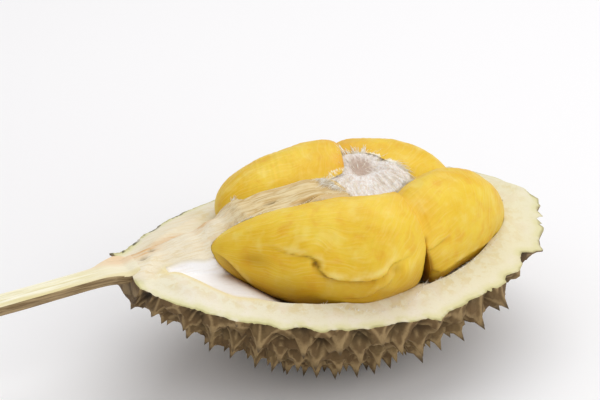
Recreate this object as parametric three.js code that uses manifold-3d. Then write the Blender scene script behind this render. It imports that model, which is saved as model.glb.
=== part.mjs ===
// An opened durian lying on its spines: about half of the thorny husk with its rim, core and split
// stem, and the four arils that lie in its two locules. Millimetres. X runs from the stem to the
// blossom end, Y from front to back and Z up, measured from the middle of the fruit's long axis.

import * as THREE from "three";
import { ConvexHull } from "three/addons/math/ConvexHull.js";
import { SimplexNoise } from "three/addons/math/SimplexNoise.js";
import { mergeVertices } from "three/addons/utils/BufferGeometryUtils.js";
import Module from "manifold-3d";

const wasm = await Module();
wasm.setup();

const GAP = 0.35;                       // clearance between pieces that touch

// Each half of the husk's outline is a hump: half width at its widest, how slowly it swells from
// the stem end and closes at the blossom end, the shoulder beside the stem, and the rim's sag.
const HUSK_LENGTH = 213;
const HUSK_MIDDLE = -1.1;
const FRONT = { side: -1, width: 68.2, swell: 0.71, close: 0.61, shoulder: 9.6, sag: 13.2 };
const BACK = { side: 1, width: 75.9, swell: 0.78, close: 0.57, shoulder: 6.5, sag: 8.5 };
const BELLY = { depth: 56, swell: 1.2, close: 1.25, shoulder: 10, blossomEnd: 10 };
const RIM_TILT = 6;                     // the blossom end of the rim lies this much lower
const RIM_LIP = 5;                      // the rim's face rises this much inwards
const LIP_FROM = -107;                  // from nothing beside the stem
const LIP_FULL = -82;                   // to its full height here
const HUSK_START = -104;                // where the husk meets the flared end of the stem
const REST_DEPTH = 64.0;                // the lowest spines are blunted at this depth

const KEPT = { end: 118, halfWidth: 92 };    // how far the kept half's box reaches past the skin
const SIDES_APART = { until: 1.4, evened: 2.4 };  // radians from straight down, see skinPoint

const WALL = { stemEnd: 15, blossomEnd: 23, floor: 11 };
const LOCULE = { frontStart: -97, backStart: -44, roundFrom: 30, end: 88, depth: 13,
                 dish: 1.2, dishEnd: -62, deepFrom: -34 };  // a shallow dish at the stem end
const FRONT_CORE_SIDE = { top: 9, neck: 5, foot: 8, thin: 3 };    // the locules' sides on the core
const BACK_CORE_SIDE = { top: 11, neck: 5.5, foot: 9, thin: 3 };

// Spines, over the whole fruit before it was opened; those above the rim are cut away. Each is
// height tall, times a draw from smallest to smallest + spread, and shorter at the two ends. It
// strays from its place in the spiral and leans by up to half of stray (mm) and turn (radians).
const SPINES = { count: 560, height: 11, crowding: 1.6, valley: 2.6, saddle: 1.2, smallest: 0.84,
                 spread: 0.32, stray: 2.4, turn: 0.06, stemLoss: 0.6, blossomLoss: 0.25, seed: 41 };
// Beside the rim they are low, more so in front than at the blossom end, up to reach mm below it.
const CALM = { least: 0.05, blossomEnd: 0.3, above: 2, reach: 5.5, from: 55, to: 90 };

// The core's crest from the stem to the middle of the fruit, as [x, z].
const CREST = [[-106, 3.5], [-91, 5], [-72, 8.5], [-60, 13], [-48, 19], [-34, 21], [-15, 23],
               [-2, 20.5], [8, 14], [22, 4], [40, -3], [84, -9]];
const CORE = { middle: -1, halfWidth: 9, stemFrontEdge: -3, narrowFrom: -38, narrowTo: -62,
               stemFlare: 10, flareTo: -88, frontSlope: 0.85, backSlope: 0.42, stemBackSlope: 0.8, farFrom: 20, farSlope: 0.8,
               ripple: 0.8 };

// The torn white pith in the middle, where the four arils were attached.
const PITH = { x: 19, y: 11.5, z: 9.5, reach: 25, breadth: 21, thickness: 8.5, tilt: 16, turn: 14,
               crater: 0.5, craterX: 0.3, craterY: 0.4, craterReach: 0.34, tufts: 0.2 };

// Arils: the middle, the reach towards the stem and towards the blossom end with the fullness of
// each end (1 is an ellipsoid, below 1 blunt, above 1 pointed), half breadth, height above and depth
// below the middle, the turn from above, the tip upwards, and how far the ends bend back and up.
const ARILS = {
  aril_front_left: { at: [-2.5, -34.5, 0.2], stemReach: 71, stemEnd: 1.2, blossomReach: 28,
    blossomEnd: 0.73, breadth: 25, height: 28.6, depth: 27, turn: -18.6, tip: -2.5,
    bendBack: 9, bendUp: 0.5 },
  aril_front_right: { at: [42.2, -21.7, 1.8], stemReach: 38, stemEnd: 0.75, blossomReach: 42.6,
    blossomEnd: 1, breadth: 21.3, height: 24.6, depth: 24, turn: 23.6, tip: -0.3,
    bendBack: -2, bendUp: -7.8 },
  aril_back_left: { at: [-5.9, 30.1, 1.4], stemReach: 43.5, stemEnd: 1, blossomReach: 34,
    blossomEnd: 0.75, breadth: 26.6, height: 24.3, depth: 23, turn: 2.3, tip: 4.8,
    bendBack: 0.4, bendUp: 4.6 },
  aril_back_right: { at: [36.7, 33.8, -3.6], stemReach: 30, stemEnd: 0.75, blossomReach: 40.7,
    blossomEnd: 1, breadth: 27.1, height: 23.8, depth: 19, turn: -22.4, tip: -3.3,
    bendBack: 0, bendUp: -0.4 },
};
// Creases where two arils press on each other: a point on the crease, its normal, and how softly
// the flesh rounds off beside it.
const FRONT_CREASE = { at: [21.75, -35, 0], normal: [1, 0, 0.25], press: 1 };
const BACK_CREASE = { at: [9.2, 9, 0], normal: [1, -0.333, 0], press: 1.8 };
const MIDDLE_CREASE = { at: [50, 4, 0], normal: [0, 1, 0], press: 1 };

const STEM = { halfWidth: 5.4, depth: 6.6, start: -185, slope: 0.064, faceHeight: 3.5,
               flareFrom: -124, frontFlare: 7.4, backFlare: 16, grooves: 7 };

// ---- number helpers

function seededRandom(seed) {
  let state = seed;
  return () => {
    state = (state + 0x6d2b79f5) | 0;
    let t = Math.imul(state ^ (state >>> 15), 1 | state);
    t = (t + Math.imul(t ^ (t >>> 7), 61 | t)) ^ t;
    return ((t ^ (t >>> 14)) >>> 0) / 4294967296;
  };
}

const { lerp, clamp, degToRad, smoothstep } = THREE.MathUtils;

// A hump over 0..1 that is 1 at its highest.
function hump(t, swell, close) {
  const peak = swell / (swell + close);
  return (t ** swell * (1 - t) ** close) / (peak ** swell * (1 - peak) ** close);
}

const along = (x) => clamp((x - HUSK_MIDDLE) / HUSK_LENGTH + 0.5, 0, 1);
const nearStem = (x) => (1 - along(x)) ** 4;

const halfWidth = (x, half) =>
  half.width * hump(along(x), half.swell, half.close) + half.shoulder * nearStem(x);

const bellyDepth = (x) =>
  BELLY.depth * hump(along(x), BELLY.swell, BELLY.close) + BELLY.shoulder * nearStem(x)
  + BELLY.blossomEnd * along(x) ** 6;

function rimHeight(x, half) {
  const t = along(x);
  return -half.sag * 4 * t * (1 - t) - RIM_TILT * t;
}

const lipAt = (x) => RIM_LIP * smoothstep(x, LIP_FROM, LIP_FULL);
const wallAt = (x) => lerp(WALL.stemEnd, WALL.blossomEnd, along(x) ** 2);

// Height of a broken line through [x, z] points, rounded at its corners.
function heightAlong(points, x) {
  const after = points.findIndex(([px]) => px > x);
  if (after < 0) return points.at(-1)[1];
  if (after === 0) return points[0][1];
  const [x0, z0] = points[after - 1];
  const [x1, z1] = points[after];
  return lerp(z0, z1, smoothstep(x, x0, x1));
}

// ---- solids

// A closed geometry as a solid, with its faces turned outwards.
function solidOf(geometry) {
  const bare = geometry.clone();
  bare.deleteAttribute("normal");
  bare.deleteAttribute("uv");
  const merged = mergeVertices(bare, 1e-4);
  const place = merged.getAttribute("position");
  const corners = Uint32Array.from(merged.getIndex().array);
  const [a, b, c] = [0, 1, 2].map(() => new THREE.Vector3());
  let volume = 0;
  for (let i = 0; i < corners.length; i += 3) {
    [a, b, c].forEach((point, k) => point.fromBufferAttribute(place, corners[i + k]));
    volume += a.dot(b.cross(c));
  }
  if (volume < 0) corners.reverse();
  return new wasm.Manifold(new wasm.Mesh({
    numProp: 3,
    vertProperties: Float32Array.from(place.array),
    triVerts: corners,
  }));
}

function geometryOf(solid) {
  const mesh = solid.getMesh();
  const geometry = new THREE.BufferGeometry();
  geometry.setAttribute("position", new THREE.BufferAttribute(mesh.vertProperties, 3));
  geometry.setIndex(new THREE.BufferAttribute(mesh.triVerts, 1));
  geometry.computeVertexNormals();
  return geometry;
}

// A skin over rings of equal count, each ring a closed outline across X, with both ends capped.
function loft(rings) {
  const count = rings[0].length;
  const corners = [];
  for (let r = 0; r + 1 < rings.length; r += 1) {
    for (let k = 0; k < count; k += 1) {
      const [a, b] = [r * count + k, r * count + ((k + 1) % count)];
      const [c, d] = [a + count, b + count];
      corners.push(a, c, b, b, c, d);
    }
  }
  const cap = (r) => THREE.ShapeUtils
    .triangulateShape(rings[r].map((p) => new THREE.Vector2(p.y, p.z)), [])
    .map((triangle) => triangle.map((k) => r * count + k));
  const turned = THREE.ShapeUtils.isClockWise(rings[0].map((p) => new THREE.Vector2(p.y, p.z)));
  for (const [a, b, c] of cap(0)) corners.push(...(turned ? [a, c, b] : [a, b, c]));
  for (const [a, b, c] of cap(rings.length - 1)) corners.push(...(turned ? [a, b, c] : [a, c, b]));
  const geometry = new THREE.BufferGeometry().setFromPoints(rings.flat());
  geometry.setIndex(corners);
  return solidOf(geometry);
}

const steps = (count, from, to) =>
  Array.from({ length: count + 1 }, (_, i) => lerp(from, to, i / count));

// ---- the spiny husk

// Across X the skin below the rim is an arc through the rim and the belly's lowest line; the rest
// of the round evens out the two sides.
function skinRadius(x, half) {
  const drop = bellyDepth(x) + rimHeight(x, half);
  return (halfWidth(x, half) ** 2 + drop ** 2) / (2 * drop);
}

const withinHusk = (x, margin = 0.25) =>
  clamp(x, HUSK_MIDDLE - HUSK_LENGTH / 2 + margin, HUSK_MIDDLE + HUSK_LENGTH / 2 - margin);

// A point of the fruit's skin at x, at an angle from straight down, raised by a height.
function skinPoint(x, angle, height) {
  const mean = 0.5 * (skinRadius(x, FRONT) + skinRadius(x, BACK));
  const own = skinRadius(x, angle < 0 ? FRONT : BACK);
  const evened = smoothstep(Math.abs(angle), SIDES_APART.until, SIDES_APART.evened);
  const radius = lerp(own, mean, evened);
  const point = new THREE.Vector3(
    x, radius * Math.sin(angle), radius * (1 - Math.cos(angle)) - bellyDepth(x));
  if (height === 0) return point;
  const step = 0.5;
  const onward = skinPoint(withinHusk(x + step), angle, 0)
    .sub(skinPoint(withinHusk(x - step), angle, 0));
  const round = skinPoint(x, angle + 0.01, 0).sub(skinPoint(x, angle - 0.01, 0));
  return point.addScaledVector(round.cross(onward).normalize(), height);
}

// Places of the spines, evenly over the skin in a spiral, closer together near the stem.
function spinePlaces() {
  const random = seededRandom(SPINES.seed);
  const slices = steps(600, HUSK_MIDDLE - HUSK_LENGTH / 2, HUSK_MIDDLE + HUSK_LENGTH / 2);
  const weights = slices.map((x) => halfWidth(x, BACK) * (1 + SPINES.crowding * (1 - along(x)) ** 3));
  const sums = weights.reduce((list, w) => [...list, list.at(-1) + w], [0]);
  const golden = 0.5 * (Math.sqrt(5) - 1);
  const placeAlong = (share) => {
    const goal = share * sums.at(-2);
    const after = sums.findIndex((sum) => sum > goal);
    return lerp(slices[after - 1], slices[after], (goal - sums[after - 1])
      / (sums[after] - sums[after - 1]));
  };
  return Array.from({ length: SPINES.count }, (_, i) => {
    const jitter = (reach) => (random() - 0.5) * reach;
    const x = placeAlong((i + 0.5) / SPINES.count) + jitter(SPINES.stray);
    const angle = (((i * golden) % 1) * 2 - 1) * Math.PI + jitter(SPINES.turn);
    const size = SPINES.smallest + SPINES.spread * random();
    return { x: withinHusk(x, 0.65), angle, size, lean: jitter(SPINES.turn) };
  });
}

function calmAt(x, angle) {
  const below = rimHeight(x, angle < 0 ? FRONT : BACK) - skinPoint(x, angle, 0).z;
  const least = lerp(CALM.least, CALM.blossomEnd, smoothstep(x, CALM.from, CALM.to));
  return lerp(least, 1, smoothstep(below, -CALM.above, CALM.reach));
}

// The whole fruit's skin: every spine a pyramid with ridges down to the saddles between spines.
function spinyFruit() {
  const places = spinePlaces();
  const round = (x) => Math.sqrt(
    Math.max(1 - ((x - HUSK_MIDDLE) / (HUSK_LENGTH / 2)) ** 2, 1e-4));
  const anchors = places.map(({ x, angle }) => new THREE.Vector3(
    x, BACK.width * round(x) * Math.sin(angle), -BACK.width * round(x) * Math.cos(angle)));
  const faces = new ConvexHull().setFromPoints(anchors).faces.map((face) => {
    const edge = face.edge;
    return [edge.prev, edge, edge.next].map((e) => anchors.indexOf(e.head().point));
  });
  const points = places.map(({ x, angle, size, lean }) => {
    const shorter = SPINES.stemLoss * (1 - along(x)) ** 3 + SPINES.blossomLoss * along(x) ** 6;
    return skinPoint(x, angle + lean, SPINES.height * size * (1 - shorter) * calmAt(x, angle));
  });
  const saddles = new Map();
  const skinUnder = (list, height) => {
    const middle = list.reduce((sum, k) => sum.add(anchors[k]), new THREE.Vector3())
      .divideScalar(list.length);
    const angle = Math.atan2(middle.y, -middle.z);
    points.push(skinPoint(middle.x, angle, height * calmAt(middle.x, angle)));
    return points.length - 1;
  };
  const saddle = (a, b) => {
    const key = a < b ? `${a} ${b}` : `${b} ${a}`;
    if (!saddles.has(key)) saddles.set(key, skinUnder([a, b], SPINES.saddle));
    return saddles.get(key);
  };
  const corners = [];
  for (const face of faces) {
    const valley = skinUnder(face, -SPINES.valley);
    face.forEach((tip, k) => {
      const [after, before] = [face[(k + 1) % 3], face[(k + 2) % 3]];
      corners.push(tip, saddle(tip, after), valley, tip, valley, saddle(tip, before));
    });
  }
  const geometry = new THREE.BufferGeometry().setFromPoints(points);
  geometry.setIndex(corners);
  return solidOf(geometry);
}

// Height of the opened face: the rim's cut face, and the fibrous core rising in the middle.
const grain = new SimplexNoise({ random: seededRandom(7) });

function openedHeight(x, y) {
  const half = y < CORE.middle ? FRONT : BACK;
  const inward = clamp((halfWidth(x, half) - Math.abs(y)) / wallAt(x), -0.4, 1);
  const rim = rimHeight(x, half) + lipAt(x) * inward;
  const wide = smoothstep(x, CORE.narrowTo, CORE.narrowFrom);
  const frontEdge = lerp(CORE.stemFrontEdge, CORE.halfWidth, wide)
    + CORE.stemFlare * smoothstep(-x, -CORE.flareTo, -HUSK_START);
  const backSlope = lerp(CORE.stemBackSlope, CORE.backSlope, wide);
  const fall = CORE.frontSlope * Math.max(0, CORE.middle - y - frontEdge)
    + backSlope * Math.max(0, y - CORE.middle - CORE.halfWidth)
    + CORE.farSlope * Math.max(0, y - CORE.farFrom);
  const torn = CORE.ripple * grain.noise(x / 16, y / 4);
  return Math.max(rim, heightAlong(CREST, x) + torn - fall);
}

function keptPart() {
  const rings = steps(46, HUSK_START + GAP, KEPT.end).map((x) => [
    ...steps(36, -KEPT.halfWidth, KEPT.halfWidth)
      .map((y) => new THREE.Vector3(x, y, openedHeight(x, y))),
    new THREE.Vector3(x, KEPT.halfWidth, -REST_DEPTH),
    new THREE.Vector3(x, -KEPT.halfWidth, -REST_DEPTH),
  ]);
  return loft(rings);
}

// A locule: the hollow between the wall and the core on one side, open at the top.
function locule(half, start, core) {
  const { side } = half;
  const rings = steps(26, start, LOCULE.end).map((x) => {
    const nearMiddle = smoothstep(x, 0, 26);
    const foot = lerp(core.foot, core.thin, nearMiddle);
    const neck = lerp(core.neck, core.thin, nearMiddle);
    const top = lerp(core.top, core.thin, nearMiddle);
    const rounding = Math.max(0, (x - LOCULE.roundFrom) / (LOCULE.end - LOCULE.roundFrom)) ** 4;
    const reach = Math.max((halfWidth(x, half) - wallAt(x)) * Math.sqrt(1 - rounding), foot + 1.5);
    const rim = rimHeight(x, half) + lipAt(x);
    const deepest = lerp(LOCULE.dish, LOCULE.depth, smoothstep(x, LOCULE.dishEnd, LOCULE.deepFrom));
    const floor = clamp(bellyDepth(x) - WALL.floor + rim, LOCULE.dish, deepest);
    const outer = steps(9, 0, 0.5 * Math.PI).map((a) => [
      lerp(foot, reach, Math.sin(a)), rim - floor * Math.cos(a)]);
    const section = [[top, 70], [top, 14], [neck, rim - 0.15 * floor], ...outer, [reach + 2, 70]];
    return section.map(([out, z]) => new THREE.Vector3(x, CORE.middle + side * out, z));
  });
  return loft(rings);
}

function tornPith(grow) {
  const lump = new THREE.SphereGeometry(1, 26, 16);
  const place = lump.getAttribute("position");
  const point = new THREE.Vector3();
  for (let i = 0; i < place.count; i += 1) {
    point.fromBufferAttribute(place, i);
    const away = Math.hypot(point.x - PITH.craterX, -point.z - PITH.craterY);
    const crater = PITH.crater * Math.exp(-((away / PITH.craterReach) ** 2));
    const tuft = point.y > 0.2 ? PITH.tufts * grain.noise(point.x * 1.6, point.z * 1.6) - crater : 0;
    point.set(point.x * (PITH.reach + grow), -point.z * (PITH.breadth + grow),
      point.y * (1 + tuft) * PITH.thickness + grow * Math.sign(point.y));
    place.setXYZ(i, ...point.toArray());
  }
  lump.rotateX(degToRad(PITH.tilt));
  lump.rotateZ(degToRad(PITH.turn));
  lump.translate(PITH.x, PITH.y, PITH.z);
  return solidOf(lump);
}

// ---- arils

// An aril swells from both ends, each with its own fullness, and bends a little along its length.
function arilBody(aril, grow) {
  const body = new THREE.SphereGeometry(1, 30, 24);
  body.rotateZ(Math.PI / 2);
  const place = body.getAttribute("position");
  const point = new THREE.Vector3();
  for (let i = 0; i < place.count; i += 1) {
    point.fromBufferAttribute(place, i);
    const blossomwards = point.x > 0;
    const fullness = blossomwards ? aril.blossomEnd : aril.stemEnd;
    const reach = (blossomwards ? aril.blossomReach : aril.stemReach) + grow;
    const share = Math.abs(point.x) ** fullness;
    const ring = Math.hypot(point.y, point.z);
    const swell = ring > 1e-6 ? ring ** fullness / ring : 0;
    place.setXYZ(i, Math.sign(point.x) * share * reach,
      point.y * swell * (aril.breadth + grow) + aril.bendBack * share * share,
      point.z * swell * ((point.z > 0 ? aril.height : aril.depth) + grow)
        + aril.bendUp * share * share);
  }
  body.rotateY(-degToRad(aril.tip));
  body.rotateZ(degToRad(aril.turn));
  body.translate(...aril.at);
  return solidOf(body);
}

// Holds a solid back behind a crease, on the side that sign tells.
function pressedBehind(solid, crease, sign) {
  const across = new THREE.Vector3(...crease.normal).normalize().multiplyScalar(sign);
  const start = new THREE.Vector3(...crease.at).dot(across);
  return solid.warp((point) => {
    const past = across.dot(new THREE.Vector3(...point)) - start + GAP / 2;
    const held = -crease.press * Math.log1p(Math.exp(-past / crease.press));
    across.toArray().forEach((part, k) => { point[k] += (held - past) * part; });
  });
}

function arilSolids() {
  const pith = tornPith(GAP);
  const presses = {
    aril_front_left: [[FRONT_CREASE, 1]],
    aril_front_right: [[FRONT_CREASE, -1], [MIDDLE_CREASE, 1]],
    aril_back_left: [[BACK_CREASE, 1]],
    aril_back_right: [[BACK_CREASE, -1], [MIDDLE_CREASE, -1]],
  };
  return Object.fromEntries(Object.entries(ARILS).map(([name, aril]) => {
    const whole = presses[name].reduce(
      (solid, [crease, sign]) => pressedBehind(solid, crease, sign), arilBody(aril, 0));
    return [name, whole.subtract(pith)];
  }));
}

function huskSolid() {
  const beds = Object.values(ARILS).map((aril) => arilBody(aril, GAP));
  const hollows = [
    locule(FRONT, LOCULE.frontStart, FRONT_CORE_SIDE),
    locule(BACK, LOCULE.backStart, BACK_CORE_SIDE),
    ...beds,
  ];
  const shell = hollows.reduce((solid, hollow) => solid.subtract(hollow),
    spinyFruit().intersect(keptPart()));
  const pieces = shell.add(tornPith(0)).simplify(0.06).decompose();
  return pieces.sort((a, b) => b.volume() - a.volume())[0];
}

// ---- the split stem, flat face up, flaring into the husk

function stemSolid() {
  const xs = [...steps(8, STEM.start, STEM.flareFrom), ...steps(5, STEM.flareFrom + 4, HUSK_START)];
  const rings = xs.map((x) => {
    const flare = smoothstep(x, STEM.flareFrom, HUSK_START) ** 1.3;
    const front = lerp(STEM.halfWidth, STEM.frontFlare, flare);
    const back = lerp(STEM.halfWidth, STEM.backFlare, flare);
    const face = STEM.faceHeight + STEM.slope * (x - HUSK_START);
    const bark = steps(14, Math.PI, 2 * Math.PI).map((angle) => {
      const groove = 1 + 0.035 * Math.cos(STEM.grooves * angle + 0.03 * x);
      const out = Math.cos(angle) < 0 ? front : back;
      return [Math.cos(angle) * out * groove, face + Math.sin(angle) * STEM.depth * groove];
    });
    const cutFace = [[0.5 * back, face - 0.3], [0, face + 0.5], [-0.5 * front, face - 0.2]];
    return [...bark, ...cutFace].map(([y, z]) => new THREE.Vector3(x, y, z));
  });
  return loft(rings);
}

// ---- the assembly

const finishes = {
  husk: { color: 0x8a7b4e, roughness: 0.85, metalness: 0 },
  stem: { color: 0xd8c48a, roughness: 0.8, metalness: 0 },
  aril: { color: 0xe8b730, roughness: 0.45, metalness: 0 },
};

function piece(name, solid, finish) {
  const mesh = new THREE.Mesh(geometryOf(solid), new THREE.MeshStandardMaterial(finish));
  mesh.name = name;
  return mesh;
}

const fruit = new THREE.Group();
fruit.add(piece("husk", huskSolid(), finishes.husk));
fruit.add(piece("stem", stemSolid(), finishes.stem));
for (const [name, solid] of Object.entries(arilSolids())) {
  fruit.add(piece(name, solid, finishes.aril));
}

// The origin is the middle of the fruit's bounding box, on the plane that the spines stand on.
const box = new THREE.Box3().setFromObject(fruit);
const middle = box.getCenter(new THREE.Vector3());
fruit.position.set(-middle.x, -middle.y, -box.min.z);

const durian = new THREE.Group();
durian.add(fruit);

export default durian;
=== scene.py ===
# A durian split open along its seams, lying cut side up, with half of its stem on the left.
import math

import bmesh
import bpy
import numpy as np
from mathutils import Matrix, Vector, noise
from mathutils.bvhtree import BVHTree
from mathutils.kdtree import KDTree


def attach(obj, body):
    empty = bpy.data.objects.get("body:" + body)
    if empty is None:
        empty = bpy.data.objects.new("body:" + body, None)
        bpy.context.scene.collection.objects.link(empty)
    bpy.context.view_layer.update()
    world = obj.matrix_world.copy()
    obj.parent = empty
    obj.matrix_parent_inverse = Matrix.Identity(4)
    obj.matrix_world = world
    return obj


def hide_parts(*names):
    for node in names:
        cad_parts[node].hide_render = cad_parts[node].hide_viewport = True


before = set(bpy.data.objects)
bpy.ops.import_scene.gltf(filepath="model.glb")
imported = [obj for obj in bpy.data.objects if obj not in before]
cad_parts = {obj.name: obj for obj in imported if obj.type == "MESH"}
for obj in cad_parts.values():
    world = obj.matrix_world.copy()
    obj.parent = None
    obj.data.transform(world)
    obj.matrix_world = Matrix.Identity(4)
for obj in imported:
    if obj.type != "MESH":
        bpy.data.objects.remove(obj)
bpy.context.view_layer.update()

# Every shape is made in mm about the fruit's own middle: x runs from the stem to the blossom end,
# y to the back and z up. finishPiece() then takes it into the shared frame.
fruitMiddle = (39.4538, -2.4529, 64.0)  # in the shared frame
gap = 0.12  # between neighbours


# ---- number helpers

def lerp(a, b, t):
    return a + (b - a) * t


def smooth(t, low=0.0, high=1.0):
    t = np.clip((t - low) / (high - low), 0, 1)
    return t * t * (3 - 2 * t)


def hump(t, swell, close):
    peak = swell / (swell + close)
    return t ** swell * (1 - t) ** close / (peak ** swell * (1 - peak) ** close)


def heightAlong(points, x):  # a broken line with rounded corners
    xs, zs = np.array(points, float).T
    after = np.clip(np.searchsorted(xs, x, side="right"), 1, len(xs) - 1)
    share = (x - xs[after - 1]) / (xs[after] - xs[after - 1])
    return lerp(zs[after - 1], zs[after], smooth(share))


def noiseAt(x, y, z):  # Perlin noise over arrays
    x, y, z = np.broadcast_arrays(x, y, z)
    values = [noise.noise((a, b, c)) for a, b, c in zip(x.ravel(), y.ravel(), z.ravel())]
    return np.array(values).reshape(x.shape)


def ripples(x, y, layers):  # of layers: height, length in x, length in y, seed
    return sum(high * noiseAt(x / long, y / wide, seed) for high, long, wide, seed in layers)


def unit(vector):
    return np.array(vector) / np.linalg.norm(vector)


# ---- mesh helpers

def places(bm):
    return np.array([v.co for v in bm.verts])


def moveTo(bm, points):
    for v, point in zip(bm.verts, points):
        v.co = point


def turned(bm, degrees, axis):
    turn = Matrix.Rotation(math.radians(degrees), 3, axis)
    bmesh.ops.rotate(bm, verts=bm.verts, matrix=turn)


def triangulated(bm):
    bmesh.ops.triangulate(bm, faces=list(bm.faces))
    return bm


def smoothFaces(mesh):
    for face in mesh.polygons:
        face.use_smooth = True


def treeOfPoints(points):
    tree = KDTree(len(points))
    for k, point in enumerate(points):
        tree.insert(point, k)
    tree.balance()
    return tree


def objectFrom(bm, name, material):  # frees the bmesh; material may be None on a cutting tool
    bmesh.ops.recalc_face_normals(bm, faces=bm.faces)
    mesh = bpy.data.meshes.new(name)
    bm.to_mesh(mesh)
    bm.free()
    obj = bpy.data.objects.new(name, mesh)
    bpy.context.scene.collection.objects.link(obj)
    if material:
        mesh.materials.append(material)
    return obj


def carve(obj, tool, operation):  # keeps the tool's material on the faces it cuts
    cut = obj.modifiers.new("cut", "BOOLEAN")
    cut.operation, cut.solver, cut.object = operation, "MANIFOLD", tool
    cut.material_mode = "TRANSFER"
    whole = obj.evaluated_get(bpy.context.evaluated_depsgraph_get())
    mesh = bpy.data.meshes.new_from_object(whole)
    obj.modifiers.clear()
    obj.data = mesh
    bpy.data.objects.remove(tool)


def keepLargestIsland(bm):
    seen, best = set(), []
    for start in bm.verts:
        if start in seen:
            continue
        island, edge = {start}, [start]
        while edge:
            for link in edge.pop().link_edges:
                for v in link.verts:
                    if v not in island:
                        island.add(v)
                        edge.append(v)
        seen |= island
        if len(island) > len(best):
            best = island
    bmesh.ops.delete(bm, geom=[v for v in bm.verts if v not in best], context="VERTS")


def floatOn(mesh, name, values):
    layer = mesh.attributes.new(name, "FLOAT", "POINT")
    layer.data.foreach_set("value", np.asarray(values, np.float32))


def pointsOf(mesh):
    flat = np.empty(len(mesh.vertices) * 3, np.float32)
    mesh.vertices.foreach_get("co", flat)
    return flat.reshape(-1, 3).astype(float)


def finishPiece(obj, nodes):  # into the shared frame, in metres, on the one body
    obj.data.transform(Matrix.Scale(0.001, 4) @ Matrix.Translation(fruitMiddle))
    obj.data.update()
    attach(obj, "root")
    if nodes:
        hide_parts(*nodes)


def awayFrom(mesh, kind, points):  # distance from the edge where faces of one finish end
    found = {}
    for face in mesh.polygons:
        for key in face.edge_keys:
            found.setdefault(key, set()).add(face.material_index)
    edge = {v for key, kinds in found.items() if kind in kinds and len(kinds) > 1 for v in key}
    tree = treeOfPoints(points[sorted(edge)])
    return [tree.find(point)[2] for point in points]


def sharpBetweenMaterials(bm):
    for e in bm.edges:
        kinds = {f.material_index for f in e.link_faces}
        e.smooth = len(kinds) < 2
    for f in bm.faces:
        f.smooth = True


# ---- materials

class Wire:  # a socket that can be added, multiplied and so on
    def __init__(self, kit, socket):
        self.kit, self.socket = kit, socket

    def maths(self, operation, a, b):
        return self.kit.node("ShaderNodeMath", {"operation": operation}, {0: a, 1: b})

    def __add__(self, other): return self.maths("ADD", self, other)
    def __radd__(self, other): return self.maths("ADD", other, self)
    def __sub__(self, other): return self.maths("SUBTRACT", self, other)
    def __rsub__(self, other): return self.maths("SUBTRACT", other, self)
    def __mul__(self, other): return self.maths("MULTIPLY", self, other)
    def __rmul__(self, other): return self.maths("MULTIPLY", other, self)
    def most(self, other): return self.maths("MAXIMUM", self, other)


class Finish:  # one material's nodes; its place is in mm, as the shapes are
    def __init__(self, name, **fixed):
        self.material = bpy.data.materials.new(name)
        self.material.use_nodes = True
        self.tree = self.material.node_tree
        self.tree.nodes.clear()
        output = self.tree.nodes.new("ShaderNodeOutputMaterial")
        self.shader = self.tree.nodes.new("ShaderNodeBsdfPrincipled")
        self.tree.links.new(self.shader.outputs[0], output.inputs["Surface"])
        for socket, value in fixed.items():
            self.shader.inputs[socket.replace("_", " ")].default_value = value
        coords = self.node("ShaderNodeTexCoord", {}, {}, "Object")
        self.place = self.node("ShaderNodeMapping", {}, {
            "Vector": coords, "Location": [-v for v in fruitMiddle], "Scale": (1000,) * 3})

    def node(self, kind, settings, sockets, output=0):
        made = self.tree.nodes.new(kind)
        for key, value in settings.items():
            setattr(made, key, value)
        for key, value in sockets.items():
            socket = made.inputs[key]
            if isinstance(value, Wire):
                self.tree.links.new(value.socket, socket)
            else:
                socket.default_value = value
        return Wire(self, made.outputs[output])

    def attribute(self, name):
        return self.node("ShaderNodeAttribute", {"attribute_name": name}, {}, "Fac")

    def axis(self, which):
        return self.node("ShaderNodeSeparateXYZ", {}, {0: self.place}, which)

    def stretched(self, scale):
        return self.node("ShaderNodeMapping", {}, {"Vector": self.place, "Scale": scale})

    def joined(self, x, y):
        return self.node("ShaderNodeCombineXYZ", {}, {0: x, 1: y})

    def noise(self, where, scale, detail=2.0, rough=0.5):
        return self.node("ShaderNodeTexNoise", {}, {
            "Vector": where, "Scale": scale, "Detail": detail, "Roughness": rough}, 0)

    def between(self, value, low, high):  # smooth step of value, down where low is above high
        return self.node("ShaderNodeMapRange", {"interpolation_type": "SMOOTHSTEP"}, {
            "Value": value, "From Min": low, "From Max": high})

    def mix(self, share, a, b):  # a colour may be a code
        a, b = (rgb(v) if isinstance(v, str) else v for v in (a, b))
        return self.node("ShaderNodeMix", {"data_type": "RGBA"}, {0: share, 6: a, 7: b}, 2)

    def tint(self, share, colour):  # over what is painted so far
        self.colour = self.mix(share, self.colour, colour)

    def finished(self, height, distance, strength):  # with a bump of that height
        normal = self.node("ShaderNodeBump", {}, {
            "Strength": strength, "Distance": distance, "Height": height})
        for name, value in (("Base Color", self.colour), ("Normal", normal)):
            self.tree.links.new(value.socket, self.shader.inputs[name])
        return self.material


def rgb(code):  # "d9b45c" as linear colour
    def linear(v):
        return v / 12.92 if v <= 0.04045 else ((v + 0.055) / 1.055) ** 2.4
    return [linear(int(code[k:k + 2], 16) / 255) for k in (0, 2, 4)] + [1.0]


# ---- the husk

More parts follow.
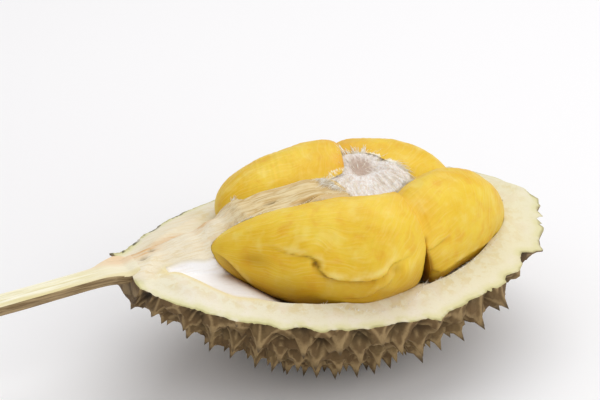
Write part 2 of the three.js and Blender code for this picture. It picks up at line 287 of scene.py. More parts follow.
huskShape = {
    "length": 213, "middle": -1.1, "start": -104, "restDepth": 64.0, "rimTilt": 6, "rimLip": 5,
    "lipFrom": -107, "lipFull": -82,
    # the two halves; coreTop and coreFoot are how far the core's side reaches into each hollow
    "front": {"side": -1, "width": 68.2, "swell": 0.71, "close": 0.61, "shoulder": 9.6,
              "sag": 13.2, "hollowStart": -89, "coreTop": 9, "coreFoot": 8},
    "back": {"side": 1, "width": 75.9, "swell": 0.78, "close": 0.57, "shoulder": 6.5,
             "sag": 8.5, "hollowStart": -44, "coreTop": 11, "coreFoot": 9},
    "belly": {"depth": 53.5, "swell": 1.2, "close": 1.25, "shoulder": 10, "blossomEnd": 10},
    "wall": {"stemEnd": 15, "blossomEnd": 23, "floor": 8.5},
    "locule": {"roundFrom": 30, "end": 88, "depth": 13, "dish": 1.2, "dishEnd": -62,
               "deepFrom": -34, "coreThin": 3, "thinFrom": 0, "thinTo": 26, "openTop": 70,
               # the lining at the stem end: a shallow dish, how far it starts from the core's
               # middle, its flank, and how soon it opens to its full width
               "dishFrom": 40, "dishFull": 66, "edge": (2.5, 6), "edgeTo": (-84, -66),
               "flank": 3.5, "opening": 21},
    "crest": [(-108, 1.5), (-100, 3.6), (-91, 5), (-72, 8.5), (-60, 13), (-48, 19), (-34, 21),
              (-15, 23), (-2, 20.5), (8, 14), (22, 4), (40, -3), (84, -9)],
    "core": {"middle": -1, "halfWidth": 9, "stemHalfWidth": -3, "stemPart": (-62, -38),
             "frontSlope": 0.85, "backSlope": 0.42, "stemBackSlope": 0.8,
             "farFrom": 20, "farSlope": 0.8, "stemFlare": 10, "flareTo": -88,
             "ripples": [(1, 24, 4, 0), (0.6, 14, 1.8, 9)], "clefts": [(0.7, 30, 2.6, 17)],
             "torn": (0.3, 1.25), "tornGrows": (-75, -50)},
    "rimRipples": [(0.35, 9, 9, 0), (0.12, 2.5, 2.5, 4)],
    "cutGrid": {"from": -114, "to": 118, "halfBreadth": 92, "columns": 190, "rows": 160},
    # rim flesh raised below the two front arils, where they meet
    "rimPad": {"at": (12, -51, -21), "half": (20, 12, 9.5)},
    # small gashes in the core: x, y, half length, half width, depth
    "gashes": [(-37, -2.3, 3.2, 0.8, 3.0), (-22, -10.5, 5.0, 0.7, 3.0),
               (-97.5, 1.8, 1.8, 0.8, 2.0), (-92, 5.5, 1.6, 0.7, 1.8), (-52, 5, 2.0, 0.5, 1.2)],
    # orange stains on the core: x, y, half length, half width
    "stains": [(-96, 7, 8, 3.4), (-84, 16, 6, 2.6), (-75, 20, 6, 2.6), (-66, 9.5, 5, 3),
               (-68, 22, 5, 2)],
}
# the spines stand on a spiral; cup, saddle and ridge shape the skin between them, and it calms
# down to the rim, most of all on the far side near the stem
spineShape = {
    "count": 560, "height": 13.5, "crowding": 1.6, "stray": 2.4, "turn": 0.06, "seed": 41,
    "smallest": 0.84, "spread": 0.32, "stemLoss": 0.6, "blossomLoss": 0.25,
    "saddle": 0.05, "cup": 0.5, "cupReach": 0.085, "ridgeReach": 0.05, "soft": 0.04,
    "cuts": 7, "keptAngle": 1.75, "grain": [(0.2, 2.2, 1 / 22, 0)],
    "calmAtRim": (0.05, 0.45), "calmGrows": (50, 80), "calmFrom": -2, "calmReach": 5.0,
    "farStemAngle": (1.0, 1.3), "farStemX": (52, 62)}
# the crater is given in mm for its colour, and on the unit ball for its shape
pithShape = {
    "at": (19, 11.5, 9.5), "reach": 25, "breadth": 21, "thickness": 8.5, "tilt": 16, "turn": 14,
    "crater": (22.5, 20.5), "craterReach": 7,
    "ballCrater": (0.18, 0.38), "ballReach": 0.34, "craterDepth": 0.8, "blunt": 0.52,
    "tufts": [(0.2, 0.625, 0.625, 0)], "strands": 0.3, "strandCount": 7}

front, back = huskShape["front"], huskShape["back"]


def bySide(isFront, measure, x):  # of the front half or the back half
    return np.where(isFront, measure(x, front), measure(x, back))


def along(x):
    return np.clip((np.asarray(x, float) - huskShape["middle"]) / huskShape["length"] + 0.5, 0, 1)


def withinHusk(x, margin=0.25):
    half = huskShape["length"] / 2 - margin
    return np.clip(x, huskShape["middle"] - half, huskShape["middle"] + half)


def halfWidth(x, half):
    t = along(x)
    return half["width"] * hump(t, half["swell"], half["close"]) + half["shoulder"] * (1 - t) ** 4


def bellyDepth(x):
    t, belly = along(x), huskShape["belly"]
    return (belly["depth"] * hump(t, belly["swell"], belly["close"])
            + belly["shoulder"] * (1 - t) ** 4 + belly["blossomEnd"] * t ** 6)


def rimHeight(x, half):
    t = along(x)
    return -half["sag"] * 4 * t * (1 - t) - huskShape["rimTilt"] * t


def lipAt(x):
    return huskShape["rimLip"] * smooth(x, huskShape["lipFrom"], huskShape["lipFull"])


def wallAt(x):
    return lerp(huskShape["wall"]["stemEnd"], huskShape["wall"]["blossomEnd"], along(x) ** 2)


def mounds(x, y, ovals, reach=1.0):  # 1 at the middle of each oval, falling away round it
    return [np.exp(-((x - ox) / (reach * half)) ** 2 - ((y - oy) / (reach * wide)) ** 2)
            for ox, oy, half, wide in ovals]


def gashAt(x, y, reach=1.0):  # how deep the core is gashed here
    shares = mounds(x, y, [gash[:4] for gash in huskShape["gashes"]], reach)
    return sum(gash[4] * share for gash, share in zip(huskShape["gashes"], shares))


def skinRadius(x, half):
    drop = bellyDepth(x) + rimHeight(x, half)
    return (halfWidth(x, half) ** 2 + drop ** 2) / (2 * drop)


def skinAt(x, angle):  # on the bare skin, at an angle from straight down
    mean = 0.5 * (skinRadius(x, front) + skinRadius(x, back))
    own = bySide(angle < 0, skinRadius, x)
    radius = lerp(own, mean, smooth(np.abs(angle), 1.4, 2.4))
    return np.stack([x + 0 * angle, radius * np.sin(angle),
                     radius * (1 - np.cos(angle)) - bellyDepth(x)], -1)


def skinNormal(x, angle):
    onward = skinAt(withinHusk(x + 0.5), angle) - skinAt(withinHusk(x - 0.5), angle)
    sideways = skinAt(x, angle + 0.01) - skinAt(x, angle - 0.01)
    normal = np.cross(sideways, onward)
    return normal / np.linalg.norm(normal, axis=-1, keepdims=True)


def seededRandom(seed):
    state = seed

    def draw():
        nonlocal state
        state = (state + 0x6d2b79f5) & 0xffffffff
        t = ((state ^ (state >> 15)) * (1 | state)) & 0xffffffff
        t = ((t + (((t ^ (t >> 7)) * (61 | t)) & 0xffffffff)) & 0xffffffff) ^ t
        return ((t ^ (t >> 14)) & 0xffffffff) / 4294967296
    return draw


def spinePlaces():  # closer together near the stem
    draw = seededRandom(spineShape["seed"])
    half = huskShape["length"] / 2
    slices = np.linspace(-half, half, 601) + huskShape["middle"]
    weights = halfWidth(slices, back) * (1 + spineShape["crowding"] * (1 - along(slices)) ** 3)
    sums = np.concatenate([[0], np.cumsum(weights)])
    golden, spines = 0.5 * (math.sqrt(5) - 1), []
    for k in range(spineShape["count"]):
        goal = (k + 0.5) / spineShape["count"] * sums[-2]
        after = int(np.argmax(sums > goal))
        x = lerp(slices[after - 1], slices[after],
                 (goal - sums[after - 1]) / (sums[after] - sums[after - 1]))
        x += (draw() - 0.5) * spineShape["stray"]
        angle = ((k * golden) % 1 * 2 - 1) * math.pi + (draw() - 0.5) * spineShape["turn"]
        size = spineShape["smallest"] + spineShape["spread"] * draw()
        lean = (draw() - 0.5) * spineShape["turn"]
        spines.append((withinHusk(x, 0.65), angle, size, lean))
    return np.array(spines)


def spineRelief(at, tips, size):  # height, closeness to a ridge, and which spine it is on
    tree = treeOfPoints(tips)
    near = [[n[1] for n in tree.find_n(point, 4)] for point in at]
    own, *others = np.array(near).T
    saddle, soft = spineShape["saddle"], spineShape["soft"]
    layers, nearest = [], np.full(len(at), 1e9)
    for beside in others:
        onward = tips[beside] - tips[own]
        span = np.linalg.norm(onward, axis=1)
        share = np.clip(((at - tips[own]) * onward).sum(1) / span ** 2, 0, 0.5)
        off = np.linalg.norm(at - tips[own] - share[:, None] * onward, axis=1) / span
        nearest = np.minimum(nearest, off)
        peak = (1 - saddle) * (1 - 2 * share) ** 1.5 * size[own]
        cup = spineShape["cup"] * (1 - np.exp(-off / spineShape["cupReach"]))
        layers.append(peak + saddle - cup)
    relief = soft * np.log(sum(np.exp(layer / soft) for layer in layers))
    return relief, np.exp(-nearest / spineShape["ridgeReach"]), own


def skinCalm(x, angle, belowRim):  # 1 where the spines have their full height
    atRim = lerp(*spineShape["calmAtRim"], smooth(x, *spineShape["calmGrows"]))
    farStem = smooth(angle, *spineShape["farStemAngle"]) * smooth(-x, *spineShape["farStemX"])
    clear = smooth(belowRim, spineShape["calmFrom"], spineShape["calmReach"])
    return lerp(np.maximum(atRim, farStem), 1, clear)


def spinySkin(material):  # the whole skin as a closed ball, cut open afterwards
    x, angle, size, lean = spinePlaces().T
    share = (x - huskShape["middle"]) / (huskShape["length"] / 2)
    radius = back["width"] * np.sqrt(np.maximum(1 - share ** 2, 1e-4))
    tips = np.stack([x, radius * np.sin(angle), -radius * np.cos(angle)], -1)
    bm = bmesh.new()
    for tip in tips:
        bm.verts.new(tip)
    bmesh.ops.convex_hull(bm, input=list(bm.verts))
    kept = [e for e in bm.edges if all(
        abs(math.atan2(v.co.y, -v.co.z)) < spineShape["keptAngle"] for v in e.verts)]
    bmesh.ops.subdivide_edges(bm, edges=kept, cuts=spineShape["cuts"], use_grid_fill=True)
    bmesh.ops.triangulate(bm, faces=list(bm.faces))
    at = places(bm)
    vx, va = at[:, 0], np.arctan2(at[:, 1], -at[:, 2])
    relief, ridge, own = spineRelief(at, tips, size)
    t = along(vx)
    shorter = spineShape["stemLoss"] * (1 - t) ** 3 + spineShape["blossomLoss"] * t ** 6
    calm = skinCalm(vx, va, bySide(va < 0, rimHeight, vx) - skinAt(vx, va)[:, 2])
    height = spineShape["height"] * (1 - shorter) * calm * relief
    height += ripples(vx, va, spineShape["grain"])
    va = va + lean[own] * np.clip(relief, 0, 1)
    points = skinAt(vx, va) + skinNormal(vx, va) * height[:, None]
    moveTo(bm, points)
    return objectFrom(bm, "openedHusk", material), points, relief, ridge


def openedHeight(x, y):  # the cut face: rim, core ridge and gashes
    core = huskShape["core"]
    isFront = y < core["middle"]
    inward = np.clip((bySide(isFront, halfWidth, x) - np.abs(y)) / wallAt(x), -0.4, 1)
    rim = bySide(isFront, rimHeight, x) + lipAt(x) * inward
    rim = rim + ripples(x, y, huskShape["rimRipples"])
    wide = smooth(x, *core["stemPart"])
    frontEdge = (lerp(core["stemHalfWidth"], core["halfWidth"], wide)
                 + core["stemFlare"] * smooth(-x, -core["flareTo"], -huskShape["start"]))
    backSlope = lerp(core["stemBackSlope"], core["backSlope"], wide)
    fall = (core["frontSlope"] * np.maximum(0, core["middle"] - y - frontEdge)
            + backSlope * np.maximum(0, y - core["middle"] - core["halfWidth"])
            + core["farSlope"] * np.maximum(0, y - core["farFrom"]))
    torn = ripples(x, y, core["ripples"]) - np.abs(ripples(x, y, core["clefts"]))
    torn = torn * lerp(*core["torn"], smooth(x, *core["tornGrows"]))
    return np.maximum(rim, heightAlong(huskShape["crest"], x) + torn - fall) - gashAt(x, y)


def keptPart(material):  # all that lies below the cut face
    grid = huskShape["cutGrid"]
    bm = bmesh.new()
    bmesh.ops.create_grid(bm, x_segments=grid["columns"], y_segments=grid["rows"], size=1)
    at = places(bm)
    x = lerp(grid["from"], grid["to"], (at[:, 0] + 1) / 2)
    y = grid["halfBreadth"] * at[:, 1]
    moveTo(bm, np.stack([x, y, openedHeight(x, y)], -1))
    border = [e for e in bm.edges if e.is_boundary]
    below = bmesh.ops.extrude_edge_only(bm, edges=border)["geom"]
    for v in (g for g in below if isinstance(g, bmesh.types.BMVert)):
        v.co.z = -huskShape["restDepth"]
    bmesh.ops.contextual_create(bm, geom=[e for e in bm.edges if e.is_boundary])
    return objectFrom(triangulated(bm), "keptPart", material)


def tubeAlong(around, rings):  # a closed tube of radius 1 from x -1 to 1
    bm = bmesh.new()
    bmesh.ops.create_cone(bm, cap_ends=True, segments=around, radius1=1, radius2=1, depth=2,
                          matrix=Matrix.Rotation(math.pi / 2, 4, "Y"))
    sides = [e for e in bm.edges if abs(e.verts[0].co.x - e.verts[1].co.x) > 1]
    bmesh.ops.subdivide_edges(bm, edges=sides, cuts=rings - 1)
    return bm


def locule(half, material):  # the hollow on one side of the core, open at the top
    hollow, middle = huskShape["locule"], huskShape["core"]["middle"]
    start, end, openTop = half["hollowStart"], hollow["end"], hollow["openTop"]
    bm = tubeAlong(72, 70)
    at = places(bm)
    x = lerp(start, end, (at[:, 0] + 1) / 2)
    turn = (np.arctan2(at[:, 2], at[:, 1]) / (2 * math.pi)) % 1
    thin = smooth(x, hollow["thinFrom"], hollow["thinTo"])
    dishes = smooth(-x, hollow["dishFrom"], hollow["dishFull"])
    edge = lerp(*hollow["edge"], smooth(x, *hollow["edgeTo"]))
    foot = lerp(lerp(half["coreFoot"], hollow["coreThin"], thin), edge + hollow["flank"], dishes)
    top = lerp(lerp(half["coreTop"], hollow["coreThin"], thin), edge, dishes)
    rounding = np.clip((x - hollow["roundFrom"]) / (end - hollow["roundFrom"]), 0, 1) ** 4
    full = (halfWidth(x, half) - wallAt(x)) * np.sqrt(1 - rounding)
    opened = lerp(1, smooth(x, start, start + hollow["opening"]), dishes)
    reach = lerp(foot + 0.8, np.maximum(full, foot + 1.5), opened)
    rim = rimHeight(x, half) + lipAt(x)
    above = lerp(14, openedHeight(x, middle + half["side"] * top) - 0.6, dishes)
    deepening = smooth(x, hollow["dishEnd"], hollow["deepFrom"])
    floor = np.clip(bellyDepth(x) - huskShape["wall"]["floor"] + rim,
                    hollow["dish"], lerp(hollow["dish"], hollow["depth"], deepening))
    out, z = np.empty(len(x)), np.empty(len(x))
    arc = np.linspace(0, math.pi / 2, 14)
    marks = np.concatenate([[0, 0.12], np.linspace(0.2, 0.8, len(arc)), [0.9, 1]])
    for k in range(len(x)):  # round the section: core, floor, outer wall, open top
        outer = lerp(np.sin(arc), arc / arc[-1], dishes[k])
        depth = lerp(np.cos(arc), 1 - (arc / arc[-1]) ** 2.2, dishes[k])
        sectionOut = [top[k], top[k], *lerp(foot[k], reach[k], outer), reach[k] + 2, top[k]]
        sectionZ = [openTop, above[k], *(rim[k] - floor[k] * depth), openTop, openTop]
        out[k] = np.interp(turn[k], marks, sectionOut)
        z[k] = np.interp(turn[k], marks, sectionZ)
    moveTo(bm, np.stack([x, middle + half["side"] * out, z], -1))
    return objectFrom(triangulated(bm), "locule", material)


def tornPith(grow, material=None):  # grown by a gap it is a cutting tool, with no tufts
    bm = bmesh.new()
    bmesh.ops.create_uvsphere(bm, u_segments=120, v_segments=80, radius=1)
    bx, by, bz = places(bm).T
    tuft = ripples(bx, by, pithShape["tufts"])
    if not grow:
        dx, dy = bx - pithShape["ballCrater"][0], by - pithShape["ballCrater"][1]
        turn, away = np.arctan2(dy, dx), np.hypot(dx, dy)
        across = pithShape["strandCount"]
        strands = noiseAt(across * np.cos(turn), across * np.sin(turn), away * 1.2)
        tuft = (tuft - pithShape["craterDepth"] * np.exp(-(away / pithShape["ballReach"]) ** 2)
                + pithShape["strands"] * strands * smooth(away, 0.1, 0.5))
        tuft = tuft * smooth(-np.hypot(bx, by), -1, -0.8)
    above = (1 + tuft * smooth(bz, 0.0, 0.4)) * np.maximum(bz, 0.02) ** -pithShape["blunt"]
    raised = np.where(bz > 0, above, 1)
    moveTo(bm, np.stack([bx * (pithShape["reach"] + grow), by * (pithShape["breadth"] + grow),
                         bz * raised * pithShape["thickness"] + grow * np.sign(bz)], -1))
    turned(bm, pithShape["tilt"], "X")
    turned(bm, pithShape["turn"], "Z")
    bmesh.ops.translate(bm, verts=bm.verts, vec=pithShape["at"])
    return objectFrom(triangulated(bm), "tornPith", material)


def rimPad(material):
    pad = huskShape["rimPad"]
    bm = bmesh.new()
    placed = Matrix.Translation(pad["at"]) @ Matrix.Diagonal((*pad["half"], 1))
    bmesh.ops.create_uvsphere(bm, u_segments=48, v_segments=32, radius=1, matrix=placed)
    return objectFrom(triangulated(bm), "rimPad", material)


# ---- the arils

# Each one's folds of the skin have a line (mm along the aril, degrees round it), how far the upper
# side stands proud and the lower side sinks in mm, and how wide the shade under them is. Its pits
# are (mm along, degrees round, depth, radius). pressedBy names its creases, with the side it is on.
arilShapes = {
    "aril_front_left": {
        "at": (-2.5, -34.5, 0.2), "stemReach": 71, "stemEnd": 1.2, "blossomReach": 28,
        "blossomEnd": 0.73, "breadth": 25, "height": 28.6, "depth": 27, "turn": -18.6,
        "tip": -2.5, "bendBack": 9, "bendUp": 0.5, "pressedBy": [("front", 1)],
        # the rim holds this one in at its lower corner
        "dent": {"at": (8, -64, 0), "normal": (0.11, -0.7, -0.7), "press": 2.0},
        "folds": [
            {"line": [(-48, 142), (-40, 151), (-34, 154), (-29, 155), (-26, 160), (-25, 168),
                      (-22, 175), (-16, 178), (-8, 178), (-1, 176), (4, 171), (7, 163),
                      (12, 159), (19, 156)], "proud": 2.6, "sunk": 2.1},
            {"line": [(-14, 200), (-6, 199), (-1, 194), (2, 188), (6, 181), (9, 172)],
             "proud": 0.8, "sunk": 1.0},
            {"line": [(-69, 168), (-64, 184), (-59, 206), (-53, 228), (-44, 240)],
             "proud": 1.1, "sunk": 1.3, "under": 7.0}],
        "pits": [(-26.5, 163, 2.2, 1.7), (-53, 167, 4.0, 8.0), (9, 168, 1.2, 3.0),
                 (14, 170, -1.2, 3.0), (5, 196, 0.8, 3.5)]},
    "aril_front_right": {
        "at": (42.2, -21.7, 1.8), "stemReach": 38, "stemEnd": 0.75, "blossomReach": 42.6,
        "blossomEnd": 1, "breadth": 21.3, "height": 24.6, "depth": 24, "turn": 23.6,
        "tip": -0.3, "bendBack": -2, "bendUp": -7.8, "pressedBy": [("front", -1), ("middle", 1)],
        "folds": [
            {"line": [(-29, 192), (-22, 205), (-14, 200), (-4, 202), (8, 202), (20, 204)],
             "proud": 1.2, "sunk": 0.8},
            {"line": [(-32, 152), (-28, 158), (-24, 157), (-18, 158)],
             "proud": 1.0, "sunk": 1.2}],
        "pits": [(-31, 140, 2.2, 2.2), (-26, 205, 1.2, 3.5), (-22, 172, -0.8, 4.0)]},
    "aril_back_left": {
        "at": (-5.9, 30.1, 1.4), "stemReach": 43.5, "stemEnd": 1, "blossomReach": 34,
        "blossomEnd": 0.75, "breadth": 26.6, "height": 24.3, "depth": 23, "turn": 2.3,
        "tip": 4.8, "bendBack": 0.4, "bendUp": 4.6, "pressedBy": [("back", 1)],
        "folds": [], "pits": [(24, 92, 0.8, 6.0)]},
    "aril_back_right": {
        "at": (36.7, 33.8, -3.6), "stemReach": 30, "stemEnd": 0.75, "blossomReach": 40.7,
        "blossomEnd": 1, "breadth": 27.1, "height": 23.8, "depth": 19, "turn": -22.4,
        "tip": -3.3, "bendBack": 0, "bendUp": -0.4, "pressedBy": [("back", -1), ("middle", -1)],
        "folds": [], "pits": []},
}
# where two arils press on each other, how softly and how far the flesh changes beside it, how much
# it sinks there (uneven: more on the first than on the second; cleft: more below), and its painted
# shade, dark and amber
creases = {
    "front": {"at": (21.75, -35, 0), "normal": (1, 0, 0.25), "press": 0.9, "reach": 3.2,
              "sink": -2.2, "uneven": 0, "cleft": 4.4, "shade": 1.0, "amber": 0.35},
    "back": {"at": (9.2, 9, 0), "normal": (1, -0.333, 0), "press": 1.8, "reach": 5.0,
             "sink": 0.2, "uneven": 1.0, "cleft": 0.2, "shade": 0.25, "amber": 1.0},
    "middle": {"at": (50, 4, 0), "normal": (0, 1, 0), "press": 0.6, "reach": 2.6,
               "sink": 1.3, "uneven": 0, "cleft": 1.6, "shade": 1.0, "amber": 0.2}}
cleftHeights = (-6, 12)  # a crease is a full cleft below the first of them
amberShadeReach = 8
# how a fold's two sides fall away from its line in mm, where its light and its shade lie and what
# height or depth gives them in full, and how the flesh swells and wrinkles
flesh = {"waver": [(0.5, 3, 3, 11)], "fadePower": 0.6, "proudReach": 9, "lipReach": 0.9,
         "lipLoss": 0.75, "sunkReach": 3.2, "sunkPower": 1.3, "litAt": 2.0, "litReach": 1.5,
         "litFull": 3, "shadeAbove": 0.35, "shadeBelow": 0.9, "sunkFull": 2.2, "underFull": 5,
         "swells": [(0.8, 17, 28, 3), (0.3, 6, 9, 7)], "slant": 0.35,
         "wrinkles": [(0.16, 1.6, 30, 5)]}


def distanceTo(line, u, v):  # also which side of the line, and how far along it
    best, side, part = np.full(u.shape, 1e9), np.zeros(u.shape), np.zeros(u.shape)
    for k, ((ax, ay), (bx, by)) in enumerate(zip(line, line[1:])):
        dx, dy = bx - ax, by - ay
        t = np.clip(((u - ax) * dx + (v - ay) * dy) / (dx * dx + dy * dy), 0, 1)
        away = np.hypot(u - ax - t * dx, v - ay - t * dy)
        cross = (u - ax) * dy - (v - ay) * dx
        closer = away < best
        best, side = np.where(closer, away, best), np.where(closer, np.sign(cross), side)
        part = np.where(closer, (k + t) / (len(line) - 1), part)
    return best, side, part


def foldRelief(aril, u, degrees, perDegree):  # height, shade and light of the folds and pits
    v = degrees * perDegree
    raised, shade, lit = np.zeros((3, len(u)))
    for fold in aril["folds"]:
        line = [(a, b * perDegree) for a, b in fold["line"]]
        away, side, part = distanceTo(line, u, v)
        away = np.maximum(away + ripples(u, v, flesh["waver"]), 0)
        fade = np.clip(np.sin(math.pi * part), 0, 1) ** flesh["fadePower"]
        proud, sunk = fold["proud"], fold["sunk"]
        under = fold.get("under", flesh["shadeBelow"])
        lip = 1 - flesh["lipLoss"] * np.exp(-away / flesh["lipReach"])
        above = proud * np.exp(-away / flesh["proudReach"]) * lip
        below = -sunk * np.exp(-(away / flesh["sunkReach"]) ** flesh["sunkPower"])
        raised += fade * np.where(side > 0, above, below)
        crest = np.exp(-((away - flesh["litAt"]) / flesh["litReach"]) ** 2)
        lit = np.maximum(lit, fade * min(1, proud / flesh["litFull"]) * (side > 0) * crest)
        dark = np.exp(-away / np.where(side > 0, flesh["shadeAbove"], under))
        depth = min(1, max(sunk / flesh["sunkFull"], under / flesh["underFull"]))
        shade = np.maximum(shade, fade * depth * dark)
    for a, b, depth, radius in aril["pits"]:
        near = np.exp(-((u - a) ** 2 + (v - b * perDegree) ** 2) / radius ** 2)
        raised -= depth * near
        shade = np.maximum(shade, near * np.clip(depth / radius, 0, 1))
    return raised, shade, lit


def heldBack(points, past, across, press):  # pressed softly against a plane it would pass
    held = -press * np.logaddexp(0, -past / press)
    return points + (held - past)[:, None] * across


# besides the points, gives the painted shade of the creases, dark and amber
def pressedTogether(aril, points):  # also how dark and how amber the flesh is there
    shade, amber = np.zeros((2, len(points)))
    for which, sign in aril["pressedBy"]:
        crease = creases[which]
        across = sign * unit(crease["normal"])
        past = (points - crease["at"]) @ across + gap / 2
        toAxis = np.array(aril["at"]) - points
        toAxis -= (toAxis @ across)[:, None] * across
        toAxis /= np.maximum(np.linalg.norm(toAxis, axis=1, keepdims=True), 1e-6)
        low = smooth(-points[:, 2], -cleftHeights[1], -cleftHeights[0])
        near = np.exp(np.minimum(past, 0) / crease["reach"])
        sink = crease["sink"] + sign * crease["uneven"] + crease["cleft"] * low
        points = heldBack(points + toAxis * (sink * near)[:, None], past, across, crease["press"])
        shade = np.maximum(shade, crease["shade"] * near ** 2 * (0.12 + 0.88 * low))
        amber = np.maximum(amber, crease["amber"] * np.exp(np.minimum(past, 0) / amberShadeReach))
    return points, shade, amber


def arilBody(name, grow, around=200, rings=230, detail=False, material=None):
    aril = arilShapes[name]
    bm = bmesh.new()
    bmesh.ops.create_uvsphere(bm, u_segments=around, v_segments=rings, radius=1,
                              matrix=Matrix.Rotation(math.pi / 2, 4, "Y"))
    bx, by, bz = places(bm).T
    blossomwards = bx > 0
    fullness = np.where(blossomwards, aril["blossomEnd"], aril["stemEnd"])
    reach = np.where(blossomwards, aril["blossomReach"], aril["stemReach"]) + grow
    share = np.abs(bx) ** fullness
    ring = np.hypot(by, bz)
    swell = np.where(ring > 1e-6, np.maximum(ring, 1e-6) ** (fullness - 1), 0)
    high = np.where(bz > 0, aril["height"], aril["depth"]) + grow
    x = np.sign(bx) * share * reach
    angle = np.degrees(np.arctan2(bz, by))
    angle = np.where(angle < -90, angle + 360, angle)  # the seam is underneath
    perDegree = math.radians(0.5 * (aril["breadth"] + aril["height"]))
    extra = np.zeros(len(x))
    if detail:
        extra, fold, lit = foldRelief(aril, x, angle, perDegree)
        slant = x + flesh["slant"] * angle * perDegree
        extra += ripples(x, angle, flesh["swells"]) + ripples(slant, angle, flesh["wrinkles"])
    squeeze = swell * ring * extra / np.maximum(ring, 1e-6)
    y = by * (swell * (aril["breadth"] + grow) + squeeze) + aril["bendBack"] * share ** 2
    z = bz * (swell * high + squeeze) + aril["bendUp"] * share ** 2
    moveTo(bm, np.stack([x, y, z], -1))
    turned(bm, -aril["tip"], "Y")
    turned(bm, aril["turn"], "Z")
    bmesh.ops.translate(bm, verts=bm.verts, vec=aril["at"])
    if "dent" in aril:
        points, across = places(bm), unit(aril["dent"]["normal"])
        past = (points - aril["dent"]["at"]) @ across
        moveTo(bm, heldBack(points, past, across, aril["dent"]["press"]))
    if detail:
        points, pressedShade, amber = pressedTogether(aril, places(bm))
        moveTo(bm, points)
    first, *rest = name.split("_")
    obj = objectFrom(bm, first + "".join(word.title() for word in rest), material)
    if detail:
        # fold holds the painted shade of the folds, pits and creases, lit the painted highlight on
        # the folds
        for attribute, values in (("alongFlesh", x), ("aroundFlesh", angle * perDegree),
                                  ("fold", np.maximum(fold, pressedShade)), ("lit", lit),
                                  ("amber", amber)):
            floatOn(obj.data, attribute, values)
    return obj


# ---- the finishes

def skinFinish():
    f = Finish("huskSkin", Roughness=0.72, Specular_IOR_Level=0.25)
    rise, ridge = f.attribute("rise"), f.attribute("ridge")
    blotch = f.noise(f.place, 0.06, 3)
    grain = f.noise(f.place, 0.9, 4, 0.6)
    low = f.mix(f.between(blotch, 0.35, 0.65), "21170a", "2c2210")
    high = f.mix(f.between(blotch, 0.4, 0.7), "705838", "7a6440")
    # painted shade: the skin darker in the cups between the spines and lighter up the spines
    f.colour = f.mix(f.between(rise, -0.4, 0.5), low, high)
    # painted highlight along the low ridges between the spines
    f.tint(f.between(ridge, 0.3, 1.0) * f.between(rise, -0.15, 0.2) * 0.75, "a88e64")
    f.tint(f.between(rise, 0.8, 1.05) * 0.8, "57493a")
    f.tint(f.between(grain, 0.45, 0.75) * 0.35, "4a3b23")
    return f.finished(grain * 0.6 + f.noise(f.place, 2.6, 2) * 0.4, 0.0006, 0.7)


def fleshFinish():
    f = Finish("cutFlesh", Roughness=0.62, Specular_IOR_Level=0.3)
    inward, hollow = f.attribute("inward"), f.attribute("fromHollow")
    corePart, stain, gash = (f.attribute(n) for n in ("corePart", "stain", "gash"))
    patch = f.noise(f.place, 0.11, 3)
    fine = f.noise(f.place, 0.7, 4, 0.6)
    nearStem = f.between(f.axis("X"), -46, -64)
    edge = inward + (patch - 0.5) * 2.0
    brown = f.between(f.axis("X"), 50.0, 85.0) * f.between(edge, 1.1, 0.2)
    # dark streaks along the far rim's outer edge near the stem
    darkStreak = f.noise(f.stretched((0.16, 0.05, 0.05)), 1.0, 2)
    farStem = f.between(f.axis("X"), -50.0, -60.0) * f.between(f.axis("Y"), 6.0, 12.0)
    darkStreak = farStem * f.between(darkStreak, 0.44, 0.5) * f.between(inward, 2.0, 1.0)
    # the rim, from its greenish edge inwards
    f.colour = f.mix(f.between(edge, 0.1, 1.7), "bdb680", "e1dbac")
    f.tint(brown * 0.7, "83774a")
    f.tint(darkStreak * 0.9, "4f4a32")
    f.tint(f.between(edge, 1.3, 5.0), "ece5cb")
    mottle = f.noise(f.place, 0.22, 4, 0.6)
    f.tint(f.between(edge, 6.0, 10.0) * f.between(mottle, 0.42, 0.58) * 0.8, "e2d2a4")
    f.tint(f.between(patch, 0.48, 0.66) * 0.5, "f0e7d9")
    f.tint(f.between(fine, 0.5, 0.75) * 0.3, "d9cba0")
    f.tint(f.between(f.axis("X"), 15.0, 75.0) * 0.35, "ddd5a6")
    f.tint(f.between(hollow, 3.4, 0.4) * nearStem * 0.55, "ecd898")
    # the core's strands, which also lie over the far rim near the stem
    strand = f.noise(f.stretched((0.05, 0.8, 0.6)), 1.0, 4, 0.6)
    line = f.noise(f.stretched((0.015, 1.1, 0.7)), 1.0, 3, 0.6)
    tan = f.mix(f.between(strand, 0.34, 0.62), "c7a568", "e8d5a8")
    tan = f.mix(nearStem * 0.85, tan, "f3ead4")
    tan = f.mix(f.between(line, 0.5, 0.62) * 0.4, tan, "e0c893")
    tan = f.mix(f.between(f.attribute("nearFlesh") + (strand - 0.5), 0.25, 0.75), tan, "f6eedb")
    streak = f.noise(f.stretched((0.03, 0.35, 0.3)), 1.0, 2)
    tan = f.mix(f.between(streak, 0.55, 0.68) * 0.35, tan, "e6c084")
    farRim = nearStem * f.between(f.axis("Y"), 8.0, 14.0) * f.between(inward, 2.0, 5.0)
    f.tint(corePart.most(farRim * 0.75), tan)
    f.tint(stain * (0.35 + 0.65 * f.between(strand, 0.35, 0.6)), "dba661")
    # painted shade inside the gashes
    f.tint(gash, "7d6a45")
    return f.finished(strand * corePart + f.noise(f.place, 1.4, 4) * 0.4, 0.0007, 0.6)


